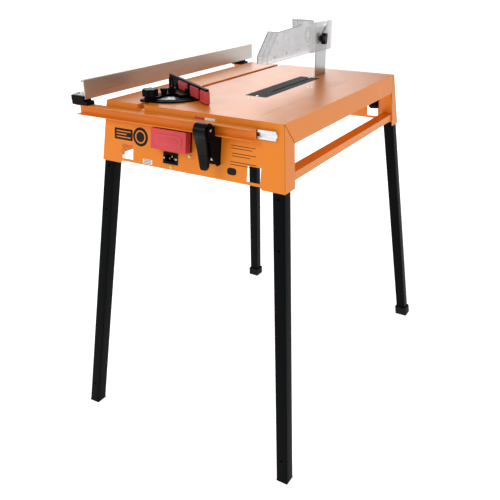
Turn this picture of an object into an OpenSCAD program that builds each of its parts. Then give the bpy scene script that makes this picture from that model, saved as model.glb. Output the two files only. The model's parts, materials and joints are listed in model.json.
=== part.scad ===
// Compact site table for a circular saw: a splayed steel stand with plug-in legs,
// a slide-out rip fence, a mitre gauge, a riving knife with a clear blade guard,
// and a switch box on the front panel.  X runs to the right along the front edge,
// Y from front to back, Z up from the floor.

/* [Table top] */
// Width of the working surface
top_w = 484; // [460:1:600]
// Depth of the working surface, front to back
top_d = 680; // [660:1:820]
// Height of the working surface above the floor
top_z = 850; // [700:1:1050]
// Thickness of the table's sheet steel
sheet = 2; // [1.5:0.1:2.5]
// Height of the folded side aprons, along their slope
apron_h = 50; // [40:1:60]
// Place of the table's middle, so that the feet stand evenly about the origin
mid_y = -17; // [-40:1:0]

/* [End panels] */
// Height of the end panels, along their slope
panel_h = 147; // [140:1:180]
// Outward lean of the two long sides, in degrees
side_lean = 5.4; // [4:0.1:7]
// Outward lean of the front panel, in degrees
front_lean = 7.4; // [6:0.1:9]
// Outward lean of the rear panel, in degrees
rear_lean = 9.4; // [8:0.1:11]
// Width of the front panel's corner flanges at the apron
front_flange = 40; // [36:1:50]
// Width of the rear panel's corner flanges at the apron
rear_flange = 22; // [20:1:36]
// Side of the square windows in the end panels
window = 35; // [25:1:45]
// Distance of each window's middle from the table's centre line
window_x = 177; // [150:1:180]
// Distance of the windows' middle below the top, along the slope
window_s = 117; // [110:1:120]
// Height of the raised middle stretch of the panels' lower edge
edge_step = 6; // [2:1:10]

/* [Legs] */
// Outer side of the square leg tube
leg_w = 30; // [24:1:34]
// Wall of the leg tube
leg_wall = 1.5; // [1.2:0.1:3]
// Gap between the top and the upper end of the legs
leg_head = 14; // [10:1:30]
// Thickness of the front foot plugs under the legs
plug_t = 4; // [3:0.5:8]
// Wall of the rear rubber caps
cap_wall = 4; // [3:0.5:6]
// Height of the rear rubber caps
cap_h = 31; // [20:1:50]
// Radius of the leg's locking holes
leg_hole_r = 3; // [2:0.1:4]
// Width of the lower side rails
rail_w = 30; // [20:1:30]
// Height of the lower side rails
rail_h = 20; // [15:1:30]
// Height of the lower side rails' top face below the working surface
rail_drop = 112; // [100:1:120]
// Thickness of the corner brackets
bracket_t = 3; // [2:0.5:4]

/* [Mitre groove] */
// Place of the mitre groove's middle
groove_x = -137; // [-150:1:-120]
// Width of the mitre groove
groove_w = 17; // [15:0.5:20]
// Depth of the mitre groove
groove_deep = 10; // [8:0.5:11]

/* [Insert and riving knife] */
// Width of the blade insert
insert_w = 61; // [55:1:70]
// Length of the blade insert
insert_l = 307; // [290:1:320]
// Thickness of the blade insert
insert_t = 2.5; // [2:0.1:3]
// Left edge of the blade insert
insert_x0 = 18; // [10:1:22]
// Front edge of the blade insert
insert_y0 = -128; // [-150:1:-120]
// Width of the ledge that carries the insert
ledge = 6; // [4:0.5:8]
// Line of the saw blade
blade_x = 54.5; // [50:0.5:60]
// Width of the blade slot
slot_w = 6; // [4.5:0.5:8]
// Length of the blade slot
slot_l = 216; // [180:1:240]
// Thickness of the riving knife
knife_t = 2.2; // [1.8:0.1:3]
// Width of the riving knife, front to back
knife_l = 67; // [50:1:75]
// Front edge of the riving knife
knife_y0 = 197; // [195:1:205]
// Height of the riving knife above the table
knife_h = 135; // [100:1:150]

/* [Blade guard] */
// Outer width of the guard
guard_w = 30; // [24:1:40]
// Wall of the clear guard
guard_wall = 2.5; // [2:0.1:3]
// Height of the guard's lower edge above the table
guard_lift = 71; // [60:1:90]
// Radius of the guard bolt
guard_bolt_r = 4; // [3:0.5:5]

/* [Fence and rails] */
// Length of the sliding rails
slide_l = 500; // [420:1:560]
// Left end of the sliding rails
slide_x0 = -317; // [-340:1:-300]
// Height of the sliding rails' section
slide_h = 25; // [22:1:28]
// Gap between the working surface and the top of the sliding rails
slide_drop = 13; // [13:1:20]
// Distance from the table's edge to the sliding rails' outer face
slide_out = 30; // [28:1:36]
// Length of the fixed guides
guide_l = 458; // [400:1:470]
// Height of the fence above the table
fence_h = 46; // [35:1:60]
// Thickness of the fence's wall
fence_t = 3; // [2:0.5:4]
// Guiding face of the fence, before it is moved
fence_x = -283; // [-290:1:-280]

/* [Lock lever] */
// Left side of the lock lever
lever_x0 = 57; // [50:1:62]
// Width of the lock lever's head
lever_w = 30; // [28:1:36]
// Radius of the lever's cam
cam_r = 18; // [14:0.5:19]
// Length of the lever below its pin
lever_l = 89; // [60:1:95]
// Radius of the lever's pin
pin_r = 3; // [2.5:0.5:4]

/* [Switch box] */
// Left edge of the stop flap
flap_x0 = -87; // [-90:1:-80]
// Width of the stop flap
flap_w = 99; // [90:1:105]
// Height of the stop flap
flap_h = 47; // [44:1:48]
// Radius of the two push buttons
button_r = 9; // [7:0.5:11]

/* [Mitre gauge] */
// Place of the gauge's pivot along the groove, before it is moved
pivot_y = -221; // [-230:1:-200]
// Angle of the gauge's face
face_turn = -32.5; // [-35:0.5:0]
// Radius of the quadrant plate
quad_r = 95; // [90:1:100]
// Radius of the lock knob's arc
arc_r = 82; // [78:1:82]
// Length of the steel bar
bar_l = 206; // [180:1:300]
// Height of the gauge's face
face_h = 36; // [30:1:45]
// Thickness of the gauge's face
face_t = 8; // [6:0.5:10]

/* [Fits] */
// Radial clearance of pins and studs that turn
turn_fit = 0.05; // [0.02:0.01:0.1]
// Gap between pieces that slide on each other
slide_fit = 0.4; // [0.3:0.05:0.6]

/* [Hidden] */
$fn = 48;
big = 2000;
tiny = 0.05;
orange = [0.91, 0.50, 0.15];
black = [0.06, 0.06, 0.07];
steel = [0.62, 0.63, 0.64];

// ---- Frames ------------------------------------------------------------------------------
// The table's own frame, with its middle above the middle of the working surface
module at_table() translate([0, mid_y, 0]) children();
// On a panel or side: local Z = 0 is the top edge, Y = 0 or X = 0 the outer face
module on_front() translate([0, -top_d / 2, top_z]) rotate([-front_lean, 0, 0]) children();
module on_rear() translate([0, top_d / 2, top_z]) rotate([rear_lean, 0, 0]) children();
module on_side() translate([top_w / 2, 0, top_z]) rotate([0, -side_lean, 0]) children();
module left_and_right() {
    children();
    mirror([1, 0, 0]) children();
}
// A front corner whose local Z runs up the leg; the rear ones are its mirror image
module on_corner(lean)
    translate([top_w / 2, -top_d / 2, top_z])
        rotate([-atan(tan(lean) * cos(side_lean)), -side_lean, 0]) children();
// The corner at the given side (-1 left, 1 right) and end (-1 front, 1 rear)
module at_corner(side, end)
    at_table() mirror([side < 0 ? 1 : 0, 0, 0]) mirror([0, end > 0 ? 1 : 0, 0])
        on_corner(end > 0 ? rear_lean : front_lean) children();
// An outline in Y and Z, pulled out along X
module along_x(length) rotate([90, 0, 90]) linear_extrude(length) children();
// An outline in X and Z, pulled out along Y
module along_y(depth) translate([0, depth, 0]) rotate([90, 0, 0]) linear_extrude(depth) children();
module bar_x(r, length) rotate([0, 90, 0]) cylinder(r = r, h = length);
module bar_y(r, length) rotate([-90, 0, 0]) cylinder(r = r, h = length);

// Outward reach of a panel's face at a height below the top
function reach(lean, drop) = tan(lean) * drop;

// ---- Table top and panels ----------------------------------------------------------------
insert_y1 = insert_y0 + insert_l;
insert_gap = 0.3;
tray_t = 2.4;
knife_slot = 7;
stud_r = 3;
stud_head_r = 5.5;
stud_head_t = 1.5;
// The two saw clamps hang from these places
clamp_at = [[47, -150], [110, 49]];
under_z = top_z - sheet;

module apron() {
    seam = 1.8;
    on_side() translate([-sheet, 0, 0]) along_x(sheet) polygon([
        [-top_d / 2 + seam, 0], [top_d / 2 - seam, 0],
        [top_d / 2 - rear_flange - seam, -apron_h],
        [-top_d / 2 + front_flange + seam, -apron_h]]);
}
module insert_cutout(margin, top, depth)
    translate([insert_x0 - margin, insert_y0 - margin, top - depth])
        cube([insert_w + 2 * margin, insert_l + 2 * margin, depth]);
module table_top() color(orange) at_table() difference() {
    union() {
        translate([-top_w / 2, -top_d / 2, under_z]) cube([top_w, top_d, sheet]);
        left_and_right() apron();
        translate([groove_x - groove_w / 2 - sheet, -top_d / 2, top_z - groove_deep - sheet])
            cube([groove_w + 2 * sheet, top_d, groove_deep + sheet]);
        insert_cutout(ledge, top_z, insert_t + tray_t);
    }
    translate([groove_x - groove_w / 2, -top_d, top_z - groove_deep])
        cube([groove_w, 2 * top_d, big]);
    insert_cutout(insert_gap, top_z + 1, insert_t + 1 + tiny);
    insert_cutout(-ledge, top_z, big);
    translate([blade_x - knife_slot / 2, knife_y0 - 4, under_z - 1])
        cube([knife_slot, knife_l + 8, sheet + 2]);
    for (p = clamp_at) translate([p[0], p[1], 0]) {
        cylinder(r = stud_r, h = big);
        translate([0, 0, top_z - stud_head_t]) cylinder(r = stud_head_r, h = big);
    }
}

// One end panel with its corner flanges, built at the front; the rear one is mirrored
notch_gap = 0.6;
module end_outline(lean) {
    k = tan(side_lean) * cos(lean);
    pocket = 200;
    polygon([[-top_w / 2, -sheet - tiny], [top_w / 2, -sheet - tiny],
        [top_w / 2 + k * panel_h, -panel_h], [pocket, -panel_h],
        [pocket - 6, -panel_h + edge_step], [6 - pocket, -panel_h + edge_step],
        [-pocket, -panel_h], [-top_w / 2 - k * panel_h, -panel_h]]);
}
module end_panel(lean, flange, flange_low) {
    k = tan(lean) * cos(side_lean);
    difference() {
        union() {
            translate([0, -top_d / 2, top_z]) rotate([-lean, 0, 0])
                along_y(sheet) end_outline(lean);
            left_and_right() on_side() translate([-sheet, 0, 0]) along_x(sheet) polygon([
                [-top_d / 2 - k * sheet, -sheet - tiny],
                [-top_d / 2 - k * panel_h, -panel_h],
                [-top_d / 2 + flange_low, -panel_h], [-top_d / 2 + flange, -apron_h],
                [-top_d / 2 + flange * 0.1, -apron_h * 0.1]]);
        }
        translate([groove_x - groove_w / 2 - sheet - notch_gap, -top_d,
            top_z - groove_deep - sheet - notch_gap])
            cube([groove_w + 2 * sheet + 2 * notch_gap, top_d, big]);
        translate([0, -top_d / 2, top_z]) rotate([-lean, 0, 0]) left_and_right()
            translate([window_x - window / 2, -big / 2, -window_s - window / 2])
                cube([window, big / 2 + 20, window]);
    }
}

// The switch box's cut-out, the inlet's cut-out and the screw holes of the front panel
screw_r = 2.5;
box_cut = [-72, -5, -88, -56];
inlet_x = -46.5;
inlet_s = 113.5;
inlet_w = 41;
inlet_h = 27;
inlet_body = [30, 21];
guide_z = top_z - slide_drop - slide_h / 2;
guide_screw_x = [-200, 0, 165];
bracket_screw_s = [64, 96];
trim_screws = [[6, 101], [-45.5, 134]];
module front_panel() color(orange) at_table() difference() {
    end_panel(front_lean, front_flange, 28);
    on_front() {
        translate([box_cut[0], -5, box_cut[2]])
            cube([box_cut[1] - box_cut[0], 15, box_cut[3] - box_cut[2]]);
        translate([inlet_x - inlet_body[0] / 2, -5, -inlet_s - inlet_body[1] / 2])
            cube([inlet_body[0], 15, inlet_body[1]]);
        for (s = bracket_screw_s) translate([bracket_mid, -20, -s]) bar_y(screw_r, 40);
        for (p = trim_screws) translate([p[0], -20, -p[1]]) bar_y(screw_r, 40);
    }
    guide_holes();
}
module rear_panel() color(orange) at_table() difference() {
    mirror([0, 1, 0]) end_panel(rear_lean, rear_flange, 20);
    mirror([0, 1, 0]) guide_holes();
}
module guide_holes()
    for (x = guide_screw_x) translate([x, -top_d / 2 - slide_out, guide_z]) bar_y(screw_r, 60);

// ---- Stand -------------------------------------------------------------------------------
// Gap round the leg inside its corner, and the leg's offset from the panels' outer faces
leg_gap = 0.7;
leg_o = sheet + leg_gap;
socket_in = leg_o + leg_w + leg_gap;
bracket_top = 22;
bracket_low = 132;
knob_drop = 82;
stud_leg_r = 4;
module leg_prism(grow, z0, z1)
    translate([-leg_o - leg_w - grow, leg_o - grow, z0])
        cube([leg_w + 2 * grow, leg_w + 2 * grow, z1 - z0]);
module above(z) translate([-big / 2, -big / 2, z]) cube(big);
module below(z) translate([-big / 2, -big / 2, z - big]) cube(big);
// Holes along the leg: just under the panel, part way down and near the floor
leg_holes = [160, 275, 800];
module leg(side, end) color(black) difference() {
    at_corner(side, end) difference() {
        leg_prism(0, -big / 2, -leg_head);
        leg_prism(-leg_wall, -big, big);
        for (d = leg_holes) translate([-leg_o - leg_w / 2, -5, -d * top_z / 850])
            bar_y(leg_hole_r, leg_w / 2 + 5);
    }
    below(plug_t);
}
module leg_front_left() leg(-1, -1);
module leg_front_right() leg(1, -1);
module leg_rear_left() leg(-1, 1);
module leg_rear_right() leg(1, 1);

spigot_h = 24;
module foot_plug(side) color(black) {
    difference() {
        at_corner(side, -1) leg_prism(0, -big / 2, -leg_head);
        above(plug_t);
        below(0);
    }
    difference() {
        at_corner(side, -1) leg_prism(-leg_wall - 0.1, -big / 2, -leg_head);
        above(spigot_h);
        below(plug_t);
    }
}
module foot_plug_left() foot_plug(-1);
module foot_plug_right() foot_plug(1);
module foot_cap(side) color(black) difference() {
    at_corner(side, 1) leg_prism(cap_wall, -big / 2, -leg_head);
    above(cap_h);
    below(0);
    intersection() {
        at_corner(side, 1) leg_prism(0, -big / 2, -leg_head);
        above(plug_t);
    }
}
module foot_cap_left() foot_cap(-1);
module foot_cap_right() foot_cap(1);

// Everything outside the panels' inner faces, for trimming what is welded to them
module outside(lean) {
    translate([0, -top_d / 2, top_z]) rotate([-lean, 0, 0])
        translate([-big / 2, sheet - big, -big / 2]) cube(big);
    on_side() translate([-sheet, -big / 2, -big / 2]) cube(big);
}
boss_t = 7;
module corner_bracket(side, end) {
    lean = end > 0 ? rear_lean : front_lean;
    mid = leg_o + leg_w / 2;
    at_table() mirror([side < 0 ? 1 : 0, 0, 0]) mirror([0, end > 0 ? 1 : 0, 0]) difference() {
        on_corner(lean) difference() {
            union() {
                translate([-socket_in - bracket_t, -10, -bracket_low])
                    cube([bracket_t, socket_in + bracket_t + 10, bracket_low - bracket_top]);
                translate([-socket_in - bracket_t, socket_in, -bracket_low])
                    cube([socket_in + bracket_t + 10, bracket_t, bracket_low - bracket_top]);
                translate([-socket_in - bracket_t - boss_t, mid - 11, -knob_drop - 11])
                    cube([boss_t, 22, 22]);
            }
            translate([-socket_in - 40, mid, -knob_drop]) bar_x(stud_leg_r + turn_fit, 60);
        }
        outside(lean);
    }
}
module corner_brackets() color(orange)
    for (side = [-1, 1]) for (end = [-1, 1]) corner_bracket(side, end);

knob_r = 15;
knob_l = 24;
// A round knob with shallow scallops, standing on Z = 0
module scalloped(r, h, lobes) difference() {
    cylinder(r = r, h = h);
    for (i = [0 : lobes - 1]) rotate([0, 0, 360 * i / lobes])
        translate([r * 1.22, 0, -1]) cylinder(r = r * 0.42, h = h + 2);
}
module leg_knob(side, end) color(black) at_corner(side, end)
    translate([-leg_o - leg_w - 0.3, leg_o + leg_w / 2, -knob_drop]) rotate([0, -90, 0]) {
        cylinder(r = stud_leg_r, h = 20);
        translate([0, 0, boss_t + bracket_t + leg_gap + 1]) cylinder(r = 9, h = 5);
        translate([0, 0, boss_t + bracket_t + leg_gap + 6]) scalloped(knob_r, knob_l, 5);
    }
module leg_knob_front_left() leg_knob(-1, -1);
module leg_knob_front_right() leg_knob(1, -1);
module leg_knob_rear_left() leg_knob(-1, 1);
module leg_knob_rear_right() leg_knob(1, 1);

// Square-cut tube between the two corner brackets of one side
module lower_rail(side) color(orange) at_table() mirror([side < 0 ? 1 : 0, 0, 0]) difference() {
    outer = top_w / 2 + reach(side_lean, rail_drop) - sheet - 1;
    translate([outer - rail_w, -top_d / 2, top_z - rail_drop - rail_h])
        cube([rail_w, top_d, rail_h]);
    translate([outer - rail_w + leg_wall, -top_d, top_z - rail_drop - rail_h + leg_wall])
        cube([rail_w - 2 * leg_wall, 2 * top_d, rail_h - 2 * leg_wall]);
    rail_end(front_lean);
    mirror([0, 1, 0]) rail_end(rear_lean);
}
module rail_end(lean) on_corner(lean)
    translate([-big / 2, socket_in + bracket_t - big, -big / 2]) cube(big);
module lower_rail_left() lower_rail(-1);
module lower_rail_right() lower_rail(1);

// ---- Rails and fence ---------------------------------------------------------------------
rail_top = top_z - slide_drop;
rail_low = rail_top - slide_h;
rail_u0 = 6.9;
hook_u = 8.7;
guide_u = 9.1;
guide_t = 2;
rail_web = 13.2;
rail_t = 2;
hook_h = 3;
guide_foot = 13;
guide_mouth = 9;
// Distance out to the floor of the guide's recess, where its screws seat
function guide_seat(lean) = reach(lean, top_z - guide_z + guide_mouth / 2) + guide_t;
// Outlines here use U, the distance out from the table's edge, as their first axis
module at_edge(end) at_table() mirror([0, end < 0 ? 1 : 0, 0]) translate([0, top_d / 2, 0])
    children();
module guide(end) {
    lean = end < 0 ? front_lean : rear_lean;
    up = guide_z + guide_foot / 2;
    low = guide_z - guide_foot / 2;
    lip = slide_h / 2 - rail_t - slide_fit;
    face_u = guide_u + guide_t;
    mouth_up = guide_z + guide_mouth / 2;
    mouth_low = guide_z - guide_mouth / 2;
    at_edge(end) translate([-guide_l / 2, 0, 0]) along_x(guide_l) polygon([
        [reach(lean, top_z - up), up], [guide_u, up], [guide_u, guide_z + lip],
        [face_u, guide_z + lip], [face_u, mouth_up], [guide_seat(lean), mouth_up],
        [guide_seat(lean), mouth_low], [face_u, mouth_low], [face_u, guide_z - lip],
        [guide_u, guide_z - lip], [guide_u, low], [reach(lean, top_z - low), low]]);
}
module guide_channels() color([0.75, 0.76, 0.78]) difference() {
    union() {
        guide(-1);
        guide(1);
    }
    at_table() {
        guide_holes();
        mirror([0, 1, 0]) guide_holes();
    }
}
module slide_rail(end) at_edge(end) translate([slide_x0, 0, 0]) along_x(slide_l) {
    translate([rail_u0, rail_top - rail_t]) square([slide_out - rail_u0, rail_t]);
    translate([rail_u0, rail_low]) square([slide_out - rail_u0, rail_t]);
    translate([rail_web, rail_low]) square([rail_t, slide_h]);
    translate([rail_u0, rail_top - rail_t - hook_h]) square([hook_u - rail_u0, hook_h + 1]);
    translate([rail_u0, rail_low + rail_t - 1]) square([hook_u - rail_u0, hook_h + 1]);
}
module front_rail() color(orange) slide_rail(-1);
module rear_rail() color(orange) slide_rail(1);

module panel_screws() color([0.80, 0.62, 0.25]) at_table() {
    for (end = [0, 1]) mirror([0, end, 0]) for (x = guide_screw_x) {
        seat = guide_seat(end == 0 ? front_lean : rear_lean);
        translate([x, -top_d / 2 - seat, guide_z]) {
            bar_y(screw_r, seat + 7);
            translate([0, -1.8, 0]) bar_y(4, 1.8);
            translate([0, seat - 0.6, 0]) rotate([-90, 0, 0]) cylinder(r = 5, h = 4, $fn = 6);
        }
    }
    on_front() {
        for (s = bracket_screw_s)
            translate([bracket_mid, -bracket_plate, -s]) screw_with_nut(bracket_plate + sheet);
        for (p = trim_screws) translate([p[0], 0, -p[1]]) screw_with_nut(sheet);
    }
}
// A dome-headed screw through the panel, its head standing on local Y = 0
module screw_with_nut(grip) {
    bar_y(screw_r, grip + 7);
    translate([0, -1.2, 0]) bar_y(4.2, 1.2);
    translate([0, -2.2, 0]) bar_y(3, 1);
    translate([0, grip, 0]) rotate([-90, 0, 0]) cylinder(r = 4.6, h = 4, $fn = 6);
}

fence_z0 = top_z + 0.8;
fence_front = slide_out - 2;
fence_rear = 69;
flange_z = 8;
flange_w = 42;
flange_t = 2.5;
block_w = 26;
block_low_h = 9;
block_screw_x = [-34, -14];
block_foot = [-42, 6];
block_x0 = -43;
module fence() color([0.80, 0.80, 0.81]) at_table() difference() {
    translate([fence_x, -top_d / 2 - fence_front, fence_z0]) {
        along_y(top_d + fence_front + fence_rear) {
            translate([-fence_t, 0]) square([fence_t, fence_h]);
            translate([-fence_t - 6, fence_h - 2]) square([7, 2]);
            translate([-fence_t - 6, fence_h - 5]) square([2, 4]);
            translate([-flange_w, flange_z]) square([flange_w - 1, flange_t]);
        }
    }
    block_screw_holes();
}
module block_screw_holes()
    for (x = block_screw_x) for (end = [-1, 1])
        translate([fence_x + x, end * (top_d / 2 + slide_out - 14), rail_top - 6])
            cylinder(r = screw_r, h = 40);
module fence_block(end) color(black) at_table() difference() {
    translate([fence_x, end < 0 ? -top_d / 2 - slide_out - 2 : top_d / 2 + slide_out + 2 - block_w, 0]) {
        translate([block_foot[0], 0, rail_top])
            cube([block_foot[1] - block_foot[0], block_w, block_low_h]);
        translate([block_x0, 0, rail_top + block_low_h])
            cube([-block_x0 - fence_t - 0.5, block_w, fence_z0 + flange_z - rail_top - block_low_h]);
    }
    block_screw_holes();
}
module fence_block_front() fence_block(-1);
module fence_block_rear() fence_block(1);
module fence_screws() color(steel) at_table()
    for (x = block_screw_x) for (end = [-1, 1])
        translate([fence_x + x, end * (top_d / 2 + slide_out - 14), 0]) {
            translate([0, 0, rail_top]) cylinder(r = screw_r, h = fence_z0 + flange_z + flange_t - rail_top);
            translate([0, 0, fence_z0 + flange_z + flange_t]) cylinder(r = 4.6, h = 2.6);
        }

// ---- Lock lever --------------------------------------------------------------------------
cam_gap = 0.4;
pin_u = slide_out + cam_gap + cam_r;
cam_z = top_z - 25;
pin_z = cam_z + 3;
cheek_t = 3.5;
cheek_gap = 0.5;
bracket_plate = 4;
bracket_x0 = lever_x0 - cheek_gap - cheek_t;
bracket_w = lever_w + 2 * (cheek_gap + cheek_t);
bracket_mid = bracket_x0 + bracket_w / 2;
bracket_low_z = top_z - 107;
module cheek_outline() {
    high = rail_low - 0.6;
    low = bracket_low_z;
    polygon([[reach(front_lean, top_z - high), high], [slide_out + 0.8, high],
        [slide_out + 0.8, pin_z + 5], [pin_u, pin_z + 8.5], [pin_u + 8.5, pin_z],
        [pin_u - 6, pin_z - 62], [reach(front_lean, top_z - low) + 12, low],
        [reach(front_lean, top_z - low), low]]);
    translate([pin_u, pin_z]) circle(8.5);
}
module back_outline() {
    high = rail_low - 0.6;
    low = bracket_low_z;
    t = bracket_plate / cos(front_lean);
    polygon([[reach(front_lean, top_z - high), high], [reach(front_lean, top_z - high) + t, high],
        [reach(front_lean, top_z - low) + t, low], [reach(front_lean, top_z - low), low]]);
}
module lever_bracket() color(black) difference() {
    at_edge(-1) {
        for (x = [bracket_x0, bracket_x0 + bracket_w - cheek_t])
            translate([x, 0, 0]) along_x(cheek_t) cheek_outline();
        translate([bracket_x0, 0, 0]) along_x(bracket_w) back_outline();
    }
    at_edge(-1) translate([bracket_x0 - 1, pin_u, pin_z]) bar_x(pin_r, bracket_w + 2);
    at_table() on_front()
        for (s = bracket_screw_s) translate([bracket_mid, -20, -s]) bar_y(screw_r, 40);
}
module lever_pin() color(steel) at_edge(-1) {
    translate([bracket_x0 - 2, pin_u, pin_z]) bar_x(pin_r, bracket_w + 4);
    translate([bracket_x0 - 3, pin_u, pin_z]) bar_x(pin_r + 2, 3);
}
module lock_lever() color(black) at_edge(-1) difference() {
    intersection() {
        translate([lever_x0, 0, 0]) along_x(lever_w) {
            translate([pin_u, cam_z]) circle(cam_r);
            polygon([[pin_u - 12, cam_z - 10], [pin_u + 15, cam_z - 8],
                [pin_u + 9, cam_z - 42], [pin_u + 7, pin_z - lever_l],
                [pin_u - 2, pin_z - lever_l], [pin_u - 8, cam_z - 40]]);
        }
        translate([lever_x0, 0, 0]) along_y(big) polygon([
            [0, pin_z + 40], [lever_w, pin_z + 40], [lever_w, cam_z - 12],
            [lever_w * 0.86, pin_z - lever_l + 6], [lever_w * 0.76, pin_z - lever_l],
            [lever_w * 0.34, pin_z - lever_l], [lever_w * 0.24, pin_z - lever_l + 6],
            [0, cam_z - 12]]);
    }
    translate([lever_x0 - 1, pin_u, pin_z]) bar_x(pin_r + turn_fit, lever_w + 2);
}

// ---- Switch box --------------------------------------------------------------------------
// Depths are measured out from the panel's face, along local -Y; S runs down the slope
flap_out = 24;
flap_s0 = 45;
flap_wall = 2.5;
bezel_t = 5;
hinge_out = 17;
hinge_s = 51;
hinge_r = 2;
ear_r = 4;
ear_t = 3;
button_s = 71;
start_x = -54;
stop_x = -20;
button_out = 14;
button_in = 5;
button_gap = 0.3;
box_deep = 45;
module flap_side(inset) polygon([
    [-flap_out + inset, -flap_s0 - inset], [-9, -flap_s0 - inset],
    [-bezel_t - 0.5, -hinge_s], [-bezel_t - 0.5, -flap_s0 - flap_h + inset],
    [-flap_out + inset, -flap_s0 - flap_h + inset]]);
module stop_flap() color([0.80, 0.12, 0.14]) at_table() on_front() {
    difference() {
        translate([flap_x0, 0, 0]) along_x(flap_w) flap_side(0);
        translate([flap_x0 + flap_wall, 0, 0]) along_x(flap_w - 2 * flap_wall) {
            flap_side(1.5);
            translate([-12, -flap_s0 - flap_h + 1.5]) square([12, flap_h - 8]);
        }
        for (x = [flap_x0 + flap_wall, flap_x0 + flap_w - flap_wall - ear_t - 1.2])
            translate([x, -flap_out + 1.5, -flap_s0 - 8.5]) cube([ear_t + 1.2, flap_out, 20]);
    }
    for (x = [flap_x0 + flap_wall - 1, flap_x0 + flap_w - flap_wall - ear_t - 1])
        translate([x, -hinge_out, -hinge_s]) bar_x(hinge_r, ear_t + 2);
    translate([stop_x, -flap_out + 1, -button_s]) bar_y(6, flap_out - 1 - button_out - 0.7);
}
module switch_housing() color(black) at_table() on_front() difference() {
    union() {
        translate([flap_x0, -bezel_t, -flap_s0 - flap_h]) cube([flap_w, bezel_t, flap_h]);
        translate([box_cut[0] + 0.5, -1, box_cut[2] + 0.5])
            cube([box_cut[1] - box_cut[0] - 1, box_deep, box_cut[3] - box_cut[2] - 1]);
        for (x = [flap_x0 + flap_wall + 0.6, flap_x0 + flap_w - flap_wall - 0.6 - ear_t])
            translate([x, 0, 0]) along_x(ear_t) {
                translate([-hinge_out, -hinge_s]) circle(ear_r);
                translate([-hinge_out, -hinge_s - ear_r]) square([hinge_out - 2, 2 * ear_r]);
            }
    }
    for (x = [start_x, stop_x]) translate([x, -bezel_t - 1, -button_s])
        bar_y(button_r + button_gap, bezel_t + 12);
    translate([flap_x0, -hinge_out, -hinge_s]) bar_x(hinge_r + turn_fit, flap_w);
}
module button(x) at_table() on_front() {
    translate([x, -button_out, -button_s]) bar_y(button_r, button_out + button_in);
    translate([x, -button_out - 0.5, -button_s]) bar_y(button_r - 2, 1);
}
module start_button() color([0.10, 0.50, 0.20]) button(start_x);
module stop_button() color([0.75, 0.08, 0.08]) button(stop_x);

inlet_flange = 3;
inlet_hole = [25, 16];
pin_block = 14;
module power_inlet() color(black) at_table() on_front() difference() {
    union() {
        translate([inlet_x - inlet_w / 2, -inlet_flange, -inlet_s - inlet_h / 2])
            cube([inlet_w, inlet_flange, inlet_h]);
        translate([inlet_x - inlet_body[0] / 2 + 0.3, -1, -inlet_s - inlet_body[1] / 2 + 0.3])
            cube([inlet_body[0] - 0.6, 26, inlet_body[1] - 0.6]);
    }
    translate([inlet_x - inlet_hole[0] / 2, -10, -inlet_s - inlet_hole[1] / 2])
        cube([inlet_hole[0], 10 + pin_block, inlet_hole[1]]);
    for (p = inlet_pin_at) translate([p[0] - 1, 0, p[1] - 2]) cube([2, 22, 4]);
}
inlet_pin_at = [[inlet_x - 7, -inlet_s - 2], [inlet_x, -inlet_s + 3], [inlet_x + 7, -inlet_s - 2]];
module inlet_pins() color([0.80, 0.65, 0.30]) at_table() on_front()
    for (p = inlet_pin_at) translate([p[0] - 1, 5, p[1] - 2]) cube([2, 17, 4]);

// ---- Insert, riving knife and guard ------------------------------------------------------
insert_screw_at = [[insert_x0 + insert_w / 2, insert_y0 + 8], [insert_x0 + insert_w / 2, insert_y1 - 8]];
slot_y0 = insert_y0 + 74;
module insert_plate() color([0.22, 0.25, 0.26]) at_table() difference() {
    translate([insert_x0, insert_y0, top_z - insert_t]) cube([insert_w, insert_l, insert_t]);
    translate([blade_x - slot_w / 2, slot_y0, under_z - 10]) cube([slot_w, slot_l, 30]);
    for (p = insert_screw_at) translate([p[0], p[1], 0]) cylinder(r = 2, h = big);
    for (p = insert_screw_at) translate([p[0], p[1], top_z - 1]) cylinder(r = 3.6, h = 5);
}
module insert_screws() color(steel) at_table() for (p = insert_screw_at)
    translate([p[0], p[1], 0]) {
        translate([0, 0, top_z - 1]) cylinder(r = 3.6, h = 0.9);
        translate([0, 0, top_z - insert_t]) cylinder(r = 2, h = insert_t - 1);
    }

knife_y1 = knife_y0 + knife_l;
knife_low = 54;
knife_x0 = blade_x - knife_t / 2;
bolt_y = knife_y0 + 15;
bolt_z = top_z + 104;
knife_bolt_at = [[knife_y0 + 12, top_z - 36], [knife_y1 - 12, top_z - 36]];
module riving_knife() color(steel) at_table() difference() {
    translate([knife_x0, 0, 0]) along_x(knife_t) union() {
        translate([knife_y0, top_z - knife_low]) square([knife_l, knife_low + knife_h - 10]);
        translate([knife_y0 + 10, top_z]) square([knife_l - 20, knife_h]);
        for (y = [knife_y0 + 10, knife_y1 - 10]) translate([y, top_z + knife_h - 10]) circle(10);
    }
    translate([knife_x0 - 5, bolt_y, bolt_z]) bar_x(guard_bolt_r + turn_fit, 10);
    for (p = knife_bolt_at) translate([knife_x0 - 5, p[0], p[1]]) bar_x(3, 10);
}
seat_t = 5;
module knife_bracket() color(steel) at_table() difference() {
    union() {
        translate([knife_x0 - seat_t, knife_y0 - 4, top_z - knife_low])
            cube([seat_t, knife_l + 8, knife_low - sheet]);
        translate([knife_x0 - 34, knife_y0 - 4, under_z - 4]) cube([34, knife_l + 8, 4]);
    }
    for (p = knife_bolt_at) translate([knife_x0 - 20, p[0], p[1]]) bar_x(3, 30);
}
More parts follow.
